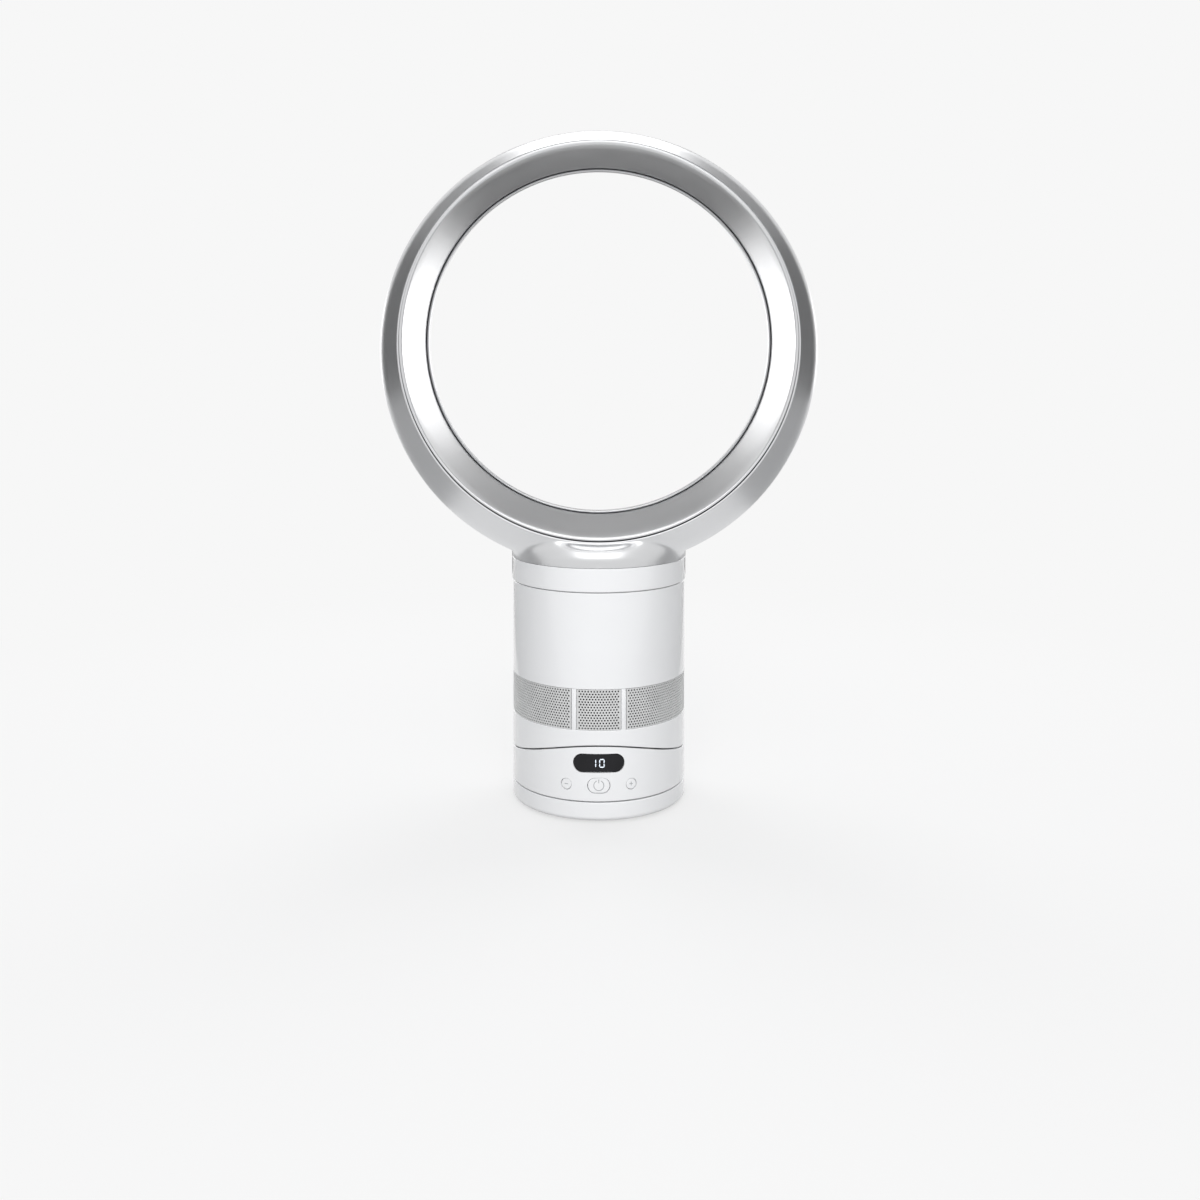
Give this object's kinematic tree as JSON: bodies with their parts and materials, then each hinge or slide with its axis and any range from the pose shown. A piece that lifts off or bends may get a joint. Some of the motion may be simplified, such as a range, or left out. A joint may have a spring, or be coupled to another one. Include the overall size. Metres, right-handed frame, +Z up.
{
  "type": "bladeless fan",
  "caption": "Bladeless desk fan: a round loop amplifier on a cylindrical body with a perforated air inlet, a tilting body, a swinging base and a button panel.",
  "frame": {"origin": "on the table, at the middle of the round foot", "axes": "+Z up, front and air flow towards -Y, +X to the right seen from the front"},
  "size_m": [0.3076, 0.1244, 0.4728],
  "materials": {
    "body_white": "glossy moulded white ABS",
    "loop_silver": "silver metallic paint on ABS",
    "inlet_mesh": "perforated sheet, satin",
    "display_black": "polished smoked black",
    "inner_grey": "moulded grey ABS",
    "inner_dark": "glass-filled nylon, dark",
    "bearing_nylon": "natural acetal",
    "rubber_dark": "matt moulded rubber",
    "foam_grey": "open-cell acoustic foam",
    "steel": "zinc-plated steel",
    "circuit_green": "solder-masked glass epoxy",
    "pinion_brass": "machined brass"
  },
  "bodies": {
    "foot": {"foot_shell": "body_white", "bottom_cover": "inner_grey", "foot_screw_1": "steel", "foot_screw_2": "steel", "foot_screw_3": "steel", "foot_screw_4": "steel", "rubber_foot_1": "rubber_dark", "rubber_foot_2": "rubber_dark", "rubber_foot_3": "rubber_dark", "rubber_foot_4": "rubber_dark", "ballast_plate": "steel", "ring_gear": "bearing_nylon", "power_inlet": "inner_dark", "thrust_washer": "bearing_nylon"},
    "control_base": {"control_base_shell": "body_white", "control_base_floor": "inner_grey", "swivel_hub": "bearing_nylon", "swivel_retainer": "steel", "display_lens": "display_black", "display_board": "circuit_green", "switch_board": "circuit_green", "control_board": "circuit_green", "swing_motor": "steel", "tilt_cradle": "inner_grey", "glide_strip_left": "bearing_nylon", "glide_strip_right": "bearing_nylon"},
    "swing_gear": {"swing_pinion": "pinion_brass"},
    "speed_down_button": {"button_speed_down": "body_white"},
    "power_button": {"button_power": "body_white"},
    "speed_up_button": {"button_speed_up": "body_white"},
    "main_body": {"body_lower_ring": "body_white", "tilt_shoe": "inner_grey", "tilt_retainer": "steel", "inlet_mesh_1": "inlet_mesh", "inlet_mesh_2": "inlet_mesh", "inlet_mesh_3": "inlet_mesh", "inlet_mesh_4": "inlet_mesh", "inlet_mesh_5": "inlet_mesh", "inlet_mesh_6": "inlet_mesh", "foam_disc": "foam_grey", "upper_casing": "body_white", "inlet_bell": "inner_grey", "impeller_housing": "inner_grey", "housing_seal": "rubber_dark", "foam_ring": "foam_grey", "motor_bucket_lower": "inner_dark", "motor_bucket_upper": "inner_dark", "motor_stator": "steel", "bearing_lower": "steel", "bearing_upper": "steel", "motor_mount_ring": "rubber_dark"},
    "rotor": {"impeller": "inner_dark", "impeller_shroud": "inner_dark", "motor_rotor": "steel"},
    "nozzle": {"nozzle_seal": "rubber_dark", "nozzle_collar": "body_white", "nozzle_front_casing": "loop_silver", "nozzle_rear_casing": "loop_silver", "nozzle_inner_casing": "loop_silver"}
  },
  "joints": [
    {"name": "swing", "type": "hinge", "parent": "foot", "child": "control_base", "pos_m": [0, 0, 0.0138], "axis": [0, 0, 1], "range_deg": [-45, 45]},
    {"name": "pinion_turn", "type": "hinge", "parent": "control_base", "child": "swing_gear", "pos_m": [0, 0.03, 0.0104], "axis": [0, 0, 1], "range_deg": [-140, 140]},
    {"name": "tilt", "type": "hinge", "parent": "control_base", "child": "main_body", "pos_m": [0, 0, 0.174], "axis": [1, 0, 0], "range_deg": [-10, 10]},
    {"name": "impeller_spin", "type": "hinge", "parent": "main_body", "child": "rotor", "pos_m": [0, 0, 0.11], "axis": [0, 0, 1], "continuous": true},
    {"name": "nozzle_twist", "type": "hinge", "parent": "main_body", "child": "nozzle", "pos_m": [0, 0, 0.1547], "axis": [0, 0, 1], "range_deg": [0, 12]},
    {"name": "speed_down_press", "type": "slide", "parent": "control_base", "child": "speed_down_button", "axis": [0.3584, 0.9336, 0], "range_m": [0, 0.0006], "stiffness_N_per_m": 600, "springref_m": -0.0005},
    {"name": "power_press", "type": "slide", "parent": "control_base", "child": "power_button", "axis": [0, 1, 0], "range_m": [0, 0.0006], "stiffness_N_per_m": 600, "springref_m": -0.0005},
    {"name": "speed_up_press", "type": "slide", "parent": "control_base", "child": "speed_up_button", "axis": [-0.3584, 0.9336, 0], "range_m": [0, 0.0006], "stiffness_N_per_m": 600, "springref_m": -0.0005}
  ],
  "couplings": [
    {"joint": "pinion_turn", "follows": "swing", "ratio": 3}
  ]
}
